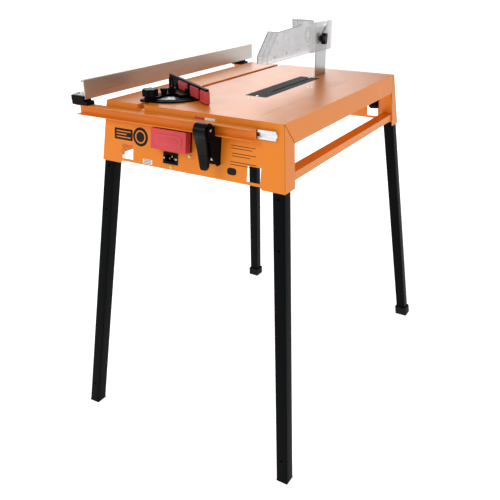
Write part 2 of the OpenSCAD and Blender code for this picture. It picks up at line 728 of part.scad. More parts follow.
module knife_bolts() color(steel) at_table() for (p = knife_bolt_at) {
    translate([knife_x0 - seat_t - 8, p[0], p[1]]) bar_x(3, seat_t + knife_t + 16);
    translate([knife_x0 - seat_t - 5, p[0], p[1]]) rotate([0, 90, 0]) cylinder(r = 5.6, h = 5, $fn = 6);
    translate([knife_x0 + knife_t, p[0], p[1]]) bar_x(9, 1.6);
    translate([knife_x0 + knife_t + 1.6, p[0], p[1]]) rotate([0, 90, 0]) cylinder(r = 5.6, h = 5, $fn = 6);
}

// The guard's side outline, front to back along Y
guard_y0 = -106;
guard_y1 = 164;
guard_z0 = top_z + guard_lift + 3;
plate_y1 = knife_y1 + 29;
plate_z1 = top_z + 146;
duct = [79, 148, 166];
slot_end = [bolt_y + 48, bolt_z + 37];
guard_half = guard_w / 2;
plate_gap = knife_t / 2 + 0.5;
plate_t = 3;
module guard_outline(inset) polygon([
    [guard_y0 + inset, guard_z0 - (inset > 0 ? 5 : 0)], [guard_y0 + inset, guard_z0 + 18],
    [guard_y0 + 54 + inset * 0.6, top_z + 146 - inset], [duct[0] + inset, top_z + 153 - inset],
    [duct[0] + inset, top_z + duct[2] - inset - 1], [duct[1] - inset, top_z + duct[2] - 9 - inset],
    [duct[1] - inset, top_z + 150 - inset], [guard_y1 - inset, top_z + 149 - inset],
    [guard_y1 - inset, guard_z0 - (inset > 0 ? 5 : 0)]]);
// The right half; the left half is its mirror image in the blade's plane
module guard_half_shell() difference() {
    union() {
        difference() {
            along_x(guard_half) guard_outline(0);
            translate([-1, 0, 0]) along_x(guard_half - guard_wall + 1) guard_outline(guard_wall);
        }
        translate([plate_gap, 0, 0]) along_x(plate_t) plate_outline();
    }
    translate([-1, guard_y1 - guard_wall - 1, guard_z0 - 10]) cube([plate_gap + 1, guard_wall + 2, big]);
    translate([plate_gap - 1, 0, 0]) along_x(plate_t + 2) bolt_slot();
}
module plate_outline() polygon([
    [guard_y1 - guard_wall, top_z + guard_lift - 2], [plate_y1, top_z + guard_lift - 4],
    [plate_y1, plate_z1], [guard_y1 - guard_wall, plate_z1 + 2]]);
module bolt_slot() {
    r = guard_bolt_r + 0.4;
    run = slot_end - [bolt_y, bolt_z];
    translate([bolt_y, bolt_z]) rotate(atan2(run[1], run[0])) {
        circle(r);
        translate([0, -r]) square([norm(run), 2 * r]);
        translate([norm(run), 0]) circle(r);
    }
}
clear = [0.85, 0.90, 0.92, 0.45];
module guard_right() color(clear) at_table() translate([blade_x, 0, 0]) guard_half_shell();
module guard_left() color(clear) at_table() translate([blade_x, 0, 0]) mirror([1, 0, 0])
    guard_half_shell();
washer_t = 1.5;
module guard_bolt() color(steel) at_table() translate([blade_x, bolt_y, bolt_z]) {
    stack = plate_gap + plate_t + slide_fit;
    translate([-stack - washer_t, 0, 0]) bar_x(guard_bolt_r, 2 * stack + 2 * washer_t + 14);
    translate([-stack - washer_t, 0, 0]) bar_x(9, washer_t);
    translate([stack, 0, 0]) bar_x(9, washer_t);
    translate([-stack - washer_t - 5, 0, 0]) rotate([0, 90, 0]) cylinder(r = 7, h = 5, $fn = 6);
}
// Three-lobed knob on the guard bolt
module guard_knob() color(black) at_table()
    translate([blade_x + plate_gap + plate_t + slide_fit + washer_t + slide_fit, bolt_y, bolt_z])
        rotate([0, 90, 0]) difference() {
            union() {
                cylinder(r = 9, h = 17);
                for (i = [0 : 2]) rotate([0, 0, 120 * i + 20]) {
                    translate([10, 0, 3]) cylinder(r = 6.5, h = 13);
                    translate([0, -5, 3]) cube([10, 10, 13]);
                }
            }
            translate([0, 0, -1]) cylinder(r = guard_bolt_r + turn_fit, h = 16);
        }

// ---- Mitre gauge -------------------------------------------------------------------------
bar_fit = 0.3;
bar_y0 = -85;
bar_top = top_z + slide_fit;
quad_t = 4;
quad_top = bar_top + quad_t;
scale_t = 0.8;
arm_z = quad_top + scale_t + slide_fit;
arm_t = 5;
arm_top = arm_z + arm_t;
post_r = 4;
knob_stud_r = 4;
face_n = 30;
face_u0 = -98;
face_u1 = 147;
// Left edge, width and lower edge of each pad; the first two stand over the quadrant
pad_at = [[-28, 58, quad_t + 1.2], [51, 51, quad_t + 1.2], [114, 33, 1.5]];
pad_top = 31;
relief = [-33, 108];
swing_up = 78;
swing_down = 3;
module at_pivot(z) at_table() translate([groove_x, pivot_y, z]) children();
// A pie slice of the given radius between two angles, less than 180 degrees apart
module slice(r, a0, a1) intersection() {
    circle(r, $fn = 96);
    polygon([[0, 0], [2 * r * cos(a0), 2 * r * sin(a0)],
        [3 * r * cos((a0 + a1) / 2), 3 * r * sin((a0 + a1) / 2)], [2 * r * cos(a1), 2 * r * sin(a1)]]);
}
module arc_band(r0, r1, a0, a1) difference() {
    slice(r1, a0, a1);
    circle(r0, $fn = 96);
}
module mitre_bar() color(steel) at_pivot(0) difference() {
    translate([-groove_w / 2 + bar_fit, bar_y0, top_z - groove_deep + bar_fit])
        cube([groove_w - 2 * bar_fit, bar_l, groove_deep - bar_fit + slide_fit]);
    translate([0, 0, top_z - groove_deep - 1]) cylinder(r = post_r, h = 30);
}
// Index stops are square to the bar and at 22.5 and 45 degrees
index_r = 31;
index_stops = [0, -22.5, 22.5, 45];
module mitre_quadrant() color(black) at_pivot(0) {
    translate([0, 0, bar_top]) linear_extrude(quad_t) difference() {
        union() {
            slice(quad_r, -105, 0);
            circle(26);
            rotate(-104) translate([0, -6]) square([quad_r - 8, 8]);
        }
        arc_band(arc_r - knob_stud_r - slide_fit, arc_r + knob_stud_r + slide_fit,
            -90 - swing_down, -90 + swing_up);
        for (a = [-90 - swing_down, -90 + swing_up])
            translate([arc_r * cos(a), arc_r * sin(a)]) circle(knob_stud_r + slide_fit - 0.15);
        for (a = index_stops) rotate(-90 - face_turn + a) translate([index_r, 0]) circle(3.3);
    }
    translate([0, 0, top_z - groove_deep + bar_fit]) cylinder(r = post_r, h = 34);
}
module mitre_scale() color([0.82, 0.84, 0.86]) at_pivot(quad_top) linear_extrude(scale_t)
    arc_band(42, arc_r - knob_stud_r - 2, -82, -46);
// The arm turns on the post and carries the face, the lock knob and the index plunger
module mitre_arm() color(black) at_pivot(0) difference() {
    union() {
        translate([0, 0, arm_z]) cylinder(r = 17, h = arm_t);
        translate([-13, -arc_r - 2, arm_z]) cube([26, arc_r + 2, arm_t]);
        translate([0, -arc_r, arm_z]) cylinder(r = 15, h = arm_t);
        rotate([0, 0, face_turn]) {
            translate([-42, 0, arm_z]) cube([100, face_n - 3.5, arm_t]);
            for (lug = [[-42, 13], [31, 19]])
                translate([lug[0], face_n - 8, arm_z]) cube([lug[1], 8, 14]);
        }
        translate([0, -index_r, arm_top]) cylinder(r = 7, h = 4);
    }
    cylinder(r = post_r + turn_fit, h = big);
    translate([0, -arc_r, 0]) cylinder(r = knob_stud_r + turn_fit, h = big);
    translate([0, -index_r, 0]) cylinder(r = 3 + turn_fit, h = big);
}
module mitre_face() color(black) at_pivot(bar_top) rotate([0, 0, face_turn]) difference() {
    translate([face_u0, face_n, 0]) cube([face_u1 - face_u0, face_t, face_h]);
    translate([relief[0], face_n - 1, -1])
        cube([relief[1] - relief[0], face_t + 2, quad_t + scale_t / 2 + 1]);
    for (p = pad_at)
        translate([p[0], face_n - 1, p[2]]) cube([p[1], face_t + 2, pad_top - p[2]]);
}
module mitre_pads() color([0.85, 0.20, 0.20]) at_pivot(bar_top) rotate([0, 0, face_turn])
    for (p = pad_at) {
        translate([p[0], face_n, p[2]]) cube([p[1], face_t + 1.5, pad_top - p[2]]);
        translate([p[0] + 1.5, face_n - 3, p[2] + 1.5])
            cube([p[1] - 3, face_t, pad_top - p[2] - 3]);
    }
module mitre_lock_knob() color(black) at_pivot(0) translate([0, -arc_r, 0]) {
    translate([0, 0, bar_top + 0.4]) cylinder(r = knob_stud_r, h = arm_top - bar_top + 2);
    translate([0, 0, arm_top + slide_fit]) cylinder(r = 11, h = 3);
    translate([0, 0, arm_top + slide_fit + 2]) scalloped(19, 17, 7);
}
// Thumb loop on the pivot post
loop_w = 24;
loop_h = 27;
module pivot_knob() color(black) at_pivot(arm_top + slide_fit) difference() {
    union() {
        cylinder(r = 10, h = 8);
        rotate([0, 0, face_turn]) translate([0, -2.5, 8]) along_y(5) difference() {
            union() {
                translate([-loop_w / 2, -2]) square([loop_w, loop_h - loop_w / 2 + 2]);
                translate([0, loop_h - loop_w / 2]) circle(loop_w / 2);
            }
            translate([-loop_w / 2 + 4, 0]) square([loop_w - 8, loop_h - loop_w / 2]);
            translate([0, loop_h - loop_w / 2]) circle(loop_w / 2 - 4);
        }
    }
    translate([0, 0, -1]) cylinder(r = post_r + turn_fit, h = 40);
}
module index_plunger() color(black) at_pivot(0) translate([0, -index_r, 0]) {
    translate([0, 0, quad_top + slide_fit]) cylinder(r = 3, h = arm_top + 8 - quad_top - slide_fit);
    translate([0, 0, arm_top + 4 + slide_fit]) cylinder(r = 8.5, h = 8);
}

// ---- Saw clamps under the top ------------------------------------------------------------
finger_z = top_z - 36;
finger_t = 6;
knob_h = 13;
// A clamp finger with a heel that reaches up behind its stud
module finger(turn) rotate([0, 0, turn]) difference() {
    union() {
        translate([-14, -8, finger_z]) cube([54, 16, finger_t]);
        translate([-14, -8, finger_z]) cube([6, 16, under_z - tray_t - 3 - finger_z]);
        translate([34, -8, finger_z]) cube([6, 16, finger_t + 5]);
    }
    cylinder(r = stud_r + turn_fit, h = big);
}
module clamp_knob() translate([0, 0, finger_z - 0.4 - knob_h]) difference() {
    union() {
        scalloped(16, knob_h - 3, 5);
        cylinder(r = 8, h = knob_h);
    }
    translate([0, 0, -1]) cylinder(r = stud_r + turn_fit, h = big);
}
module at_clamp(i) at_table() translate([clamp_at[i][0], clamp_at[i][1], 0]) children();
module saw_clamp_front() color(steel) at_clamp(0) finger(90);
module saw_clamp_side() color(steel) at_clamp(1) finger(180);
module clamp_knob_front() color(black) at_clamp(0) clamp_knob();
module clamp_knob_side() color(black) at_clamp(1) clamp_knob();
module clamp_studs() color(steel) for (i = [0, 1]) at_clamp(i) {
    translate([0, 0, finger_z - knob_h - 4]) cylinder(r = stud_r, h = top_z - finger_z + knob_h + 4 - tiny);
    translate([0, 0, top_z - stud_head_t]) cylinder(r = stud_head_r, h = stud_head_t - tiny);
}

table_top();
front_panel();
rear_panel();
lower_rail_left();
lower_rail_right();
corner_brackets();
leg_front_left();
leg_front_right();
leg_rear_left();
leg_rear_right();
foot_plug_left();
foot_plug_right();
foot_cap_left();
foot_cap_right();
leg_knob_front_left();
leg_knob_front_right();
leg_knob_rear_left();
leg_knob_rear_right();
guide_channels();
panel_screws();
front_rail();
rear_rail();
fence();
fence_block_front();
fence_block_rear();
fence_screws();
lever_bracket();
lever_pin();
lock_lever();
switch_housing();
start_button();
stop_button();
stop_flap();
power_inlet();
inlet_pins();
insert_plate();
insert_screws();
riving_knife();
knife_bracket();
knife_bolts();
guard_left();
guard_right();
guard_bolt();
guard_knob();
mitre_bar();
mitre_quadrant();
mitre_scale();
mitre_arm();
mitre_face();
mitre_pads();
mitre_lock_knob();
pivot_knob();
index_plunger();
saw_clamp_front();
saw_clamp_side();
clamp_knob_front();
clamp_knob_side();
clamp_studs();
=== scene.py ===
# %% [markdown]
# # A circular saw table, finished in Blender
# The solids come from the CAD model as a fixed frame.  Each cell below gives one part of
# the table the look of the real thing: rounded edges, enamel, ground steel, moulded
# plastic and a clear guard.  Nothing is moved: every new piece is built where the CAD
# part already is, and rides on the same body.

# %% Load the frame
import json
import math

import bmesh
import bpy
from mathutils import Matrix, Vector


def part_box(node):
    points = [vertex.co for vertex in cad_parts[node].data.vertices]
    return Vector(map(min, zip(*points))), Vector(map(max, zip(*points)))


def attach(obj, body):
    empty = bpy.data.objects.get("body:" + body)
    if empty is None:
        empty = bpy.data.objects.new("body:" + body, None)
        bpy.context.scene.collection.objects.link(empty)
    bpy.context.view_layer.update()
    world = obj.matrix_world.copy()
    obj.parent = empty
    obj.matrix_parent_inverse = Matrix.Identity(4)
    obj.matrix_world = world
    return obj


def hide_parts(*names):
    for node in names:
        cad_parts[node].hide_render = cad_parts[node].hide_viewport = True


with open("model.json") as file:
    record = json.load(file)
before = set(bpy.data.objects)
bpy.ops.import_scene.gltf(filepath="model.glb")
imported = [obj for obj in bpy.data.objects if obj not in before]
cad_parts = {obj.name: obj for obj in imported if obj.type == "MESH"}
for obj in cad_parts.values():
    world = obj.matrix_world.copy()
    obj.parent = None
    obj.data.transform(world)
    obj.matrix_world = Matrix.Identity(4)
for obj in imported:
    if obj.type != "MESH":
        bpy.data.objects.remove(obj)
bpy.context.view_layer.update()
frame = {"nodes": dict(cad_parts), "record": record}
nodes = frame["nodes"]
body_of_node = {n: b for b, ns in frame["record"]["behaviour"]["bodies"].items() for n in ns}
slot_of_node = {s["node"]: s["material_slot"] for s in frame["record"]["subparts"]}

# %% [markdown]
# ## Sizes
# The table leans outwards on all sides, so a flat detail on a panel is easiest to place in
# that panel's own frame.  These matrices are those frames: X runs along the panel, local Y
# points in (or out, at the rear), and Z runs up the slope with the top edge at zero.

# %% Frames of the leaning panels
MM = 0.001
MID_Y, TOP_W, TOP_D, TOP_Z = -17 * MM, 484 * MM, 680 * MM, 850 * MM
SIDE_LEAN, FRONT_LEAN, REAR_LEAN = (math.radians(a) for a in (5.4, 7.4, 9.4))
LEG_GAP, LEG_W, LEG_WALL = 2.7 * MM, 30 * MM, 1.5 * MM
ON_TABLE = Matrix.Translation((0, MID_Y, TOP_Z))
ON_FRONT = Matrix.Translation((0, MID_Y - TOP_D / 2, TOP_Z)) @ Matrix.Rotation(-FRONT_LEAN, 4, "X")


def side_frame(side):
    """Frame of the right (1) or left (-1) side: X points out, Y back, Z up the slope."""
    mirror = Matrix.Scale(side, 4, (1, 0, 0))
    place = Matrix.Translation((TOP_W / 2, MID_Y, TOP_Z)) @ Matrix.Rotation(-SIDE_LEAN, 4, "Y")
    return mirror @ place


def corner_frame(side, end):
    """Frame of a corner, with Z running up the leg; the leg is at -X and +Y of its origin."""
    lean = REAR_LEAN if end > 0 else FRONT_LEAN
    tilt = -math.atan(math.tan(lean) * math.cos(SIDE_LEAN))
    turn = Matrix.Rotation(-SIDE_LEAN, 4, "Y") @ Matrix.Rotation(tilt, 4, "X")
    mirror = Matrix.Diagonal((side, -end, 1, 1))
    shift = Matrix.Translation((0, MID_Y, 0))
    return shift @ mirror @ Matrix.Translation((TOP_W / 2, -TOP_D / 2, TOP_Z)) @ turn


print("front panel leans", round(math.degrees(FRONT_LEAN), 1), "degrees")

# %% [markdown]
# ## Materials
# A material is built from a few ideas that repeat.  A slow noise shifts the colour a
# little, because paint and plastic are never quite even.  A fine noise drives the bump,
# which is orange peel on enamel and grain on plastic.  A bevel node finds the edges, where
# enamel wears through first.  All of them read Object coordinates, so the pattern stays
# with the piece when a joint moves.

# %% A small builder for node materials


class Recipe:
    """Thin wrapper round a material's node tree, so each recipe reads in a few lines."""

    def __init__(self, name):
        self.material = bpy.data.materials.new(name)
        self.material.use_nodes = True
        self.tree = self.material.node_tree
        self.shader = self.tree.nodes["Principled BSDF"]
        self.place = self.tree.nodes.new("ShaderNodeTexCoord").outputs["Object"]

    def node(self, kind, **settings):
        made = self.tree.nodes.new(kind)
        for key, value in settings.items():
            setattr(made, key, value)
        return made

    def link(self, a, b):
        self.tree.links.new(a, b)

    def surface(self, **values):
        for key, value in values.items():
            self.shader.inputs[key.replace("_", " ")].default_value = value

    def stretched(self, scale):
        """Object coordinates scaled by three numbers, for patterns with a direction."""
        mapping = self.node("ShaderNodeMapping")
        mapping.inputs["Scale"].default_value = scale
        self.link(self.place, mapping.inputs["Vector"])
        return mapping.outputs["Vector"]

    def noise(self, scale, detail=3.0, rough=0.55, vector=None):
        made = self.node("ShaderNodeTexNoise")
        made.inputs["Scale"].default_value = scale
        made.inputs["Detail"].default_value = detail
        made.inputs["Roughness"].default_value = rough
        self.link(vector or self.place, made.inputs["Vector"])
        return made.outputs["Fac"]

    def span(self, source, low, high, to_low=0.0, to_high=1.0):
        made = self.node("ShaderNodeMapRange")
        for name, value in (("From Min", low), ("From Max", high),
                            ("To Min", to_low), ("To Max", to_high)):
            made.inputs[name].default_value = value
        self.link(source, made.inputs["Value"])
        return made.outputs["Result"]

    def blend(self, factor, a, b):
        """Mix of two colours; each may be a socket or three numbers."""
        made = self.node("ShaderNodeMix", data_type="RGBA")
        self.link(factor, made.inputs["Factor"])
        for value, socket in ((a, made.inputs[6]), (b, made.inputs[7])):
            if isinstance(value, tuple):
                socket.default_value = (*value, 1.0)
            else:
                self.link(value, socket)
        return made.outputs[2]

    def times(self, a, b):
        made = self.node("ShaderNodeMath", operation="MULTIPLY")
        self.link(a, made.inputs[0])
        if isinstance(b, float):
            made.inputs[1].default_value = b
        else:
            self.link(b, made.inputs[1])
        return made.outputs[0]

    def edges(self, radius, sharp=0.985):
        """One on outer edges, nought on flats."""
        soft = self.node("ShaderNodeBevel", samples=4)
        soft.inputs["Radius"].default_value = radius
        flat = self.node("ShaderNodeNewGeometry").outputs["Normal"]
        dot = self.node("ShaderNodeVectorMath", operation="DOT_PRODUCT")
        self.link(soft.outputs["Normal"], dot.inputs[0])
        self.link(flat, dot.inputs[1])
        return self.span(dot.outputs["Value"], sharp, sharp - 0.12)

    def bump(self, height, distance, strength):
        made = self.node("ShaderNodeBump")
        made.inputs["Strength"].default_value = strength
        made.inputs["Distance"].default_value = distance
        self.link(height, made.inputs["Height"])
        self.link(made.outputs["Normal"], self.shader.inputs["Normal"])

    def colour(self, socket):
        self.link(socket, self.shader.inputs["Base Color"])

    def roughness(self, socket):
        self.link(socket, self.shader.inputs["Roughness"])


def shade(rgb, factor):
    return tuple(min(1.0, c * factor) for c in rgb)


print("recipe helper ready")

# %% [markdown]
# ### Enamel
# Baked enamel on sheet steel has three things to show: a slightly uneven depth of colour,
# the faint orange peel of sprayed paint, and thin bare lines along folded edges where
# hands and timber have rubbed.

# %% Enamel finishes


def enamel(name, rgb, rough, coat, wear=0.5, bare=(0.30, 0.28, 0.26), shine=0.5):
    r = Recipe(name)
    drift = r.blend(r.span(r.noise(4.0, 3.0), 0.3, 0.7), shade(rgb, 0.97), shade(rgb, 1.03))
    specks = r.span(r.noise(900.0, 2.0), 0.60, 0.72)
    drift = r.blend(r.times(specks, 0.06), drift, shade(rgb, 0.7))
    rubbed = r.times(r.edges(0.0009), r.span(r.noise(160.0, 5.0), 0.56, 0.64))
    r.colour(r.blend(r.times(rubbed, wear), drift, bare))
    r.roughness(r.span(r.noise(24.0, 4.0), 0.35, 0.7, rough - 0.015, rough + 0.02))
    r.surface(Coat_Weight=coat, Coat_Roughness=0.10, Specular_IOR_Level=shine)
    r.bump(r.noise(520.0, 2.0), 0.000008, 0.25)
    return r.material


orange_enamel = enamel("orange enamel", (0.74, 0.208, 0.010), 0.36, 0.0, 0.3,
                       (0.42, 0.24, 0.12), 0.34)
black_enamel = enamel("black enamel", (0.0018, 0.0024, 0.0030), 0.48, 0.0, 0.25,
                      (0.025, 0.025, 0.025), 0.04)
slate_enamel = enamel("slate enamel", (0.014, 0.018, 0.018), 0.6, 0.0, 0.5,
                      (0.12, 0.12, 0.12), 0.04)
print("enamel finishes:", orange_enamel.name, black_enamel.name, slate_enamel.name)

# %% [markdown]
# ### Metals
# Ground, drawn and rolled metals differ in the direction of their fine scratches.  The
# noise is squeezed across the working direction, so the streaks run along the part.

# %% Metal finishes


def metal(name, rgb, rough, streaks, depth=0.00001):
    """streaks is the scale of the scratches along X, Y and Z; a low number runs long."""
    r = Recipe(name)
    lines = r.noise(1.0, 6.0, 0.65, r.stretched(streaks))
    cloud = r.noise(9.0, 4.0)
    body = r.blend(r.span(lines, 0.3, 0.7), shade(rgb, 0.84), shade(rgb, 1.10))
    r.colour(r.blend(r.times(r.span(cloud, 0.45, 0.75), 0.25), body, shade(rgb, 0.72)))
    r.roughness(r.span(lines, 0.3, 0.7, rough - 0.07, rough + 0.09))
    r.surface(Metallic=1.0)
    r.bump(lines, depth, 0.5)
    return r.material


# Painted reflection: the grey is the aluminium's own, but the warm brown tint in it stands in for
# the orange table reflected in the fence.
aluminium_with_painted_reflection = metal("aluminium with painted orange reflection", (0.66, 0.61, 0.56), 0.46, (1400, 6, 1400))
scale_metal = metal("etched scale", (0.88, 0.89, 0.90), 0.45, (900, 900, 900))
ground_steel = metal("ground steel", (0.50, 0.51, 0.52), 0.27, (200, 900, 14))
plated_steel = metal("plated steel", (0.60, 0.60, 0.60), 0.24, (400, 400, 400))
rolled_zinc = metal("rolled zinc", (0.68, 0.69, 0.71), 0.27, (5, 700, 700))
yellow_brass = metal("yellow brass", (0.72, 0.52, 0.20), 0.25, (500, 500, 500))
print("metal finishes ready")

# %% [markdown]
# ### Plastics and rubber
# Moulded parts carry the spark-eroded grain of their tool.  Gloss parts get less of it.
# Rubber is rougher still and greys where it touches the ground.

# %% Plastic, rubber and clear finishes


def moulded(name, rgb, rough, grain, coat=0.0, worn=0.3, shine=0.45):
    r = Recipe(name)
    drift = r.blend(r.span(r.noise(14.0, 4.0), 0.3, 0.7), shade(rgb, 0.90), shade(rgb, 1.10))
    scuff = r.times(r.edges(0.0008), r.span(r.noise(220.0, 4.0), 0.50, 0.62))
    r.colour(r.blend(r.times(scuff, worn), drift, tuple(min(1.0, c * 1.6 + 0.02) for c in rgb)))
    r.roughness(r.span(r.noise(60.0, 5.0), 0.3, 0.7, rough - 0.04, rough + 0.07))
    r.surface(Coat_Weight=coat, Coat_Roughness=0.12, Specular_IOR_Level=shine)
    r.bump(r.noise(1700.0, 2.0), grain, 0.6)
    return r.material


def clear_plastic(name):
    """Clear moulding, a little hazed by sawdust and fine scratches."""
    r = Recipe(name)
    haze = r.noise(70.0, 6.0, 0.7)
    r.roughness(r.span(haze, 0.4, 0.75, 0.03, 0.16))
    r.colour(r.blend(r.span(haze, 0.35, 0.8), (0.90, 0.91, 0.92), (0.84, 0.86, 0.875)))
    r.surface(Transmission_Weight=0.74, IOR=1.36, Specular_IOR_Level=0.5)
    r.bump(r.noise(1.0, 5.0, 0.6, r.stretched((300, 30, 300))), 0.00001, 0.4)
    return r.material


black_plastic = moulded("black moulding", (0.0025, 0.0025, 0.003), 0.42, 0.00002, shine=0.07)
gloss_plastic = moulded("gloss black moulding", (0.002, 0.002, 0.0022), 0.24,
                        0.000005, 0.0, 0.1, 0.12)
red_plastic = moulded("red moulding", (0.60, 0.040, 0.050), 0.36, 0.00001, 0.15, 0.1)
pad_plastic = moulded("red pads", (0.58, 0.055, 0.062), 0.45, 0.00002, 0.05, 0.1)
green_plastic = moulded("green moulding", (0.020, 0.22, 0.06), 0.32, 0.00001, 0.25, 0.1)
white_vinyl = moulded("white vinyl", (0.80, 0.79, 0.76), 0.35, 0.00001, 0.2, 0.0)
dark_vinyl = moulded("dark vinyl", (0.009, 0.007, 0.006), 0.45, 0.00001, 0.0, 0.0, 0.15)
dark_rubber = moulded("dark rubber", (0.006, 0.006, 0.006), 0.72, 0.00006, 0.0, 0.4, 0.12)
clear_guard = clear_plastic("clear moulding")
FINISH = {
    "orange_paint": orange_enamel, "black_paint": black_enamel, "grey_paint": slate_enamel,
    "zinc": rolled_zinc, "aluminium": aluminium_with_painted_reflection, "steel": plated_steel, "brass": yellow_brass,
    "black_plastic": black_plastic, "red_plastic": red_plastic, "green_plastic": green_plastic,
    "clear_plastic": clear_guard, "rubber": dark_rubber,
}
SPECIAL = {"mitre_pads": pad_plastic, "mitre_scale": scale_metal, "riving_knife": ground_steel,
           "lock_lever": gloss_plastic, "guard_knob": gloss_plastic}
print(len(FINISH), "record slots have a finish")

# %% [markdown]
# ## Rounded copies of the CAD parts
# CAD edges are mathematically sharp, and a sharp edge never catches the light.  Here each
# part's mesh is copied, its loose triangles are merged and its flats dissolved, and then a
# Bevel modifier rounds the edges by what the real process leaves: a fraction of a
# millimetre on sheet and machined parts, more on mouldings.  The copy replaces the node.

# %% Helpers that make pieces


def make_piece(name, mesh, material, body):
    """Wraps a mesh, already in place, as an object that rides on a body."""
    piece = bpy.data.objects.new(name, mesh)
    bpy.context.scene.collection.objects.link(piece)
    mesh.materials.clear()
    mesh.materials.append(material)
    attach(piece, body)
    return piece


def flattened(obj, name):
    """The evaluated mesh of an object, after which the object is removed."""
    graph = bpy.context.evaluated_depsgraph_get()
    mesh = bpy.data.meshes.new_from_object(obj.evaluated_get(graph))
    mesh.name = name
    bpy.data.objects.remove(obj)
    return mesh


def soften(mesh, angle=32):
    """Smooth shading except across edges steeper than the angle."""
    mesh.polygons.foreach_set("use_smooth", [True] * len(mesh.polygons))
    mesh.set_sharp_from_angle(angle=math.radians(angle))
    mesh.update()
    return mesh


def bevelled(mesh, width, segments=2, angle=38, name="rounded"):
    """A copy of the mesh with its sharp edges rounded and its flat faces left flat."""
    obj = bpy.data.objects.new(name, soften(mesh))
    bpy.context.scene.collection.objects.link(obj)
    bevel = obj.modifiers.new("round", "BEVEL")
    bevel.width, bevel.segments = width, segments
    bevel.limit_method, bevel.angle_limit = "ANGLE", math.radians(angle)
    bevel.use_clamp_overlap = True
    flats = obj.modifiers.new("flats", "WEIGHTED_NORMAL")
    flats.keep_sharp, flats.weight = True, 100
    return flattened(obj, name)


def written(form, name):
    """The form as a new mesh, after which the form is freed."""
    mesh = bpy.data.meshes.new(name)
    form.to_mesh(mesh)
    form.free()
    return mesh


def closed_mesh(form, name):
    """The form as a new mesh whose faces all point outwards."""
    bmesh.ops.recalc_face_normals(form, faces=form.faces)
    return written(form, name)


def merged_copy(node):
    """The node's triangles welded together, with flat areas made into single faces."""
    mesh = nodes[node].data.copy()
    form = bmesh.new()
    form.from_mesh(mesh)
    bmesh.ops.remove_doubles(form, verts=form.verts, dist=0.00002)
    bmesh.ops.dissolve_limit(form, angle_limit=math.radians(1.2),
                             verts=form.verts, edges=form.edges)
    form.to_mesh(mesh)
    form.free()
    return mesh


def round_node(node, width, segments=2, angle=38):
    mesh = bevelled(merged_copy(node), width, segments, angle, node + "_finished")
    material = SPECIAL.get(node) or FINISH[slot_of_node[node]]
    piece = make_piece(node + "_finished", mesh, material, body_of_node[node])
    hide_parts(node)


print("piece helpers ready")

# %% [markdown]
# The table below is the maker's list: how far each part's edges are rounded, in
# millimetres.  Folded sheet keeps a tight radius, extrusions a small one, and mouldings
# a generous one because sharp corners don't leave a mould cleanly.

# %% Round the parts
ROUNDING = {
    "front_panel": 0.5, "rear_panel": 0.5, "table_top": 0.7, "lower_rail_left": 0.6,
    "lower_rail_right": 0.6, "corner_brackets": 0.6, "guide_channels": 0.4,
    "front_rail": 0.5, "rear_rail": 0.5, "fence": 0.5, "fence_block_front": 1.2,
    "fence_block_rear": 1.2, "fence_screws": 0.4, "lever_bracket": 0.6, "lever_pin": 0.5,
    "switch_housing": 0.5, "power_inlet": 0.6, "insert_plate": 0.3, "riving_knife": 0.35,
    "knife_bracket": 0.5, "knife_bolts": 0.4, "guard_left": 0.6, "guard_right": 0.6,
    "guard_bolt": 0.5, "mitre_bar": 0.5, "mitre_quadrant": 0.6, "mitre_arm": 0.9,
    "mitre_face": 1.0, "mitre_pads": 1.2, "saw_clamp_front": 0.8, "saw_clamp_side": 0.8,
    "start_button": 0.8, "stop_button": 0.8, "foot_plug_left": 0.8, "foot_plug_right": 0.8,
    "panel_screws": 0.3, "index_plunger": 1.2, "pivot_knob": 0.8,
}
KNOBS = ["leg_knob_front_left", "leg_knob_front_right", "leg_knob_rear_left",
         "leg_knob_rear_right", "mitre_lock_knob", "clamp_knob_front", "clamp_knob_side"]
for node, width in ROUNDING.items():
    round_node(node, width * MM)
for node in KNOBS:
    round_node(node, 1.6 * MM, 3)
for node in ("foot_cap_left", "foot_cap_right"):
    round_node(node, 2.2 * MM, 3)
round_node("guard_knob", 1.3 * MM, 3)
round_node("lock_lever", 2.4 * MM, 4, 30)
round_node("stop_flap", 2.2 * MM, 4, 30)
for node in ("inlet_pins", "insert_screws", "clamp_studs", "mitre_scale"):
    nodes[node].data.materials.clear()
    nodes[node].data.materials.append(SPECIAL.get(node) or FINISH[slot_of_node[node]])
print(len(ROUNDING) + len(KNOBS) + 5, "rounded parts")

# %% [markdown]
# ## Legs
# A drawn square tube has rounded corners with a radius of about twice its wall, which a
# bevel on a thin wall can't make.  So the legs are lofted: one rounded square, pushed
# along the leg's own axis, cut level with the floor, with a smaller one inside it.  The
# locking holes are then cut by Boolean cylinders.

# %% Build the legs
LEG_HOLES = (160, 275, 800)                     # millimetres down the leg
LEG_CORNER, LEG_TOP, LEG_END = 3.2 * MM, -14 * MM, 4 * MM
HOLE_R, HOLE_DEPTH, LEAST_RADIUS = 3 * MM, 10 * MM, 0.4 * MM


def rounded_outline(half_x, half_y, radius, steps=5):
    """Points of a rounded rectangle about the origin, anticlockwise."""
    points = []
    for quarter, (sx, sy) in enumerate(((1, 1), (-1, 1), (-1, -1), (1, -1))):
        for i in range(steps + 1):
            a = math.radians(90 * quarter + 90 * i / steps)
            points.append((sx * (half_x - radius) + radius * math.cos(a),
                           sy * (half_y - radius) + radius * math.sin(a)))
    return points


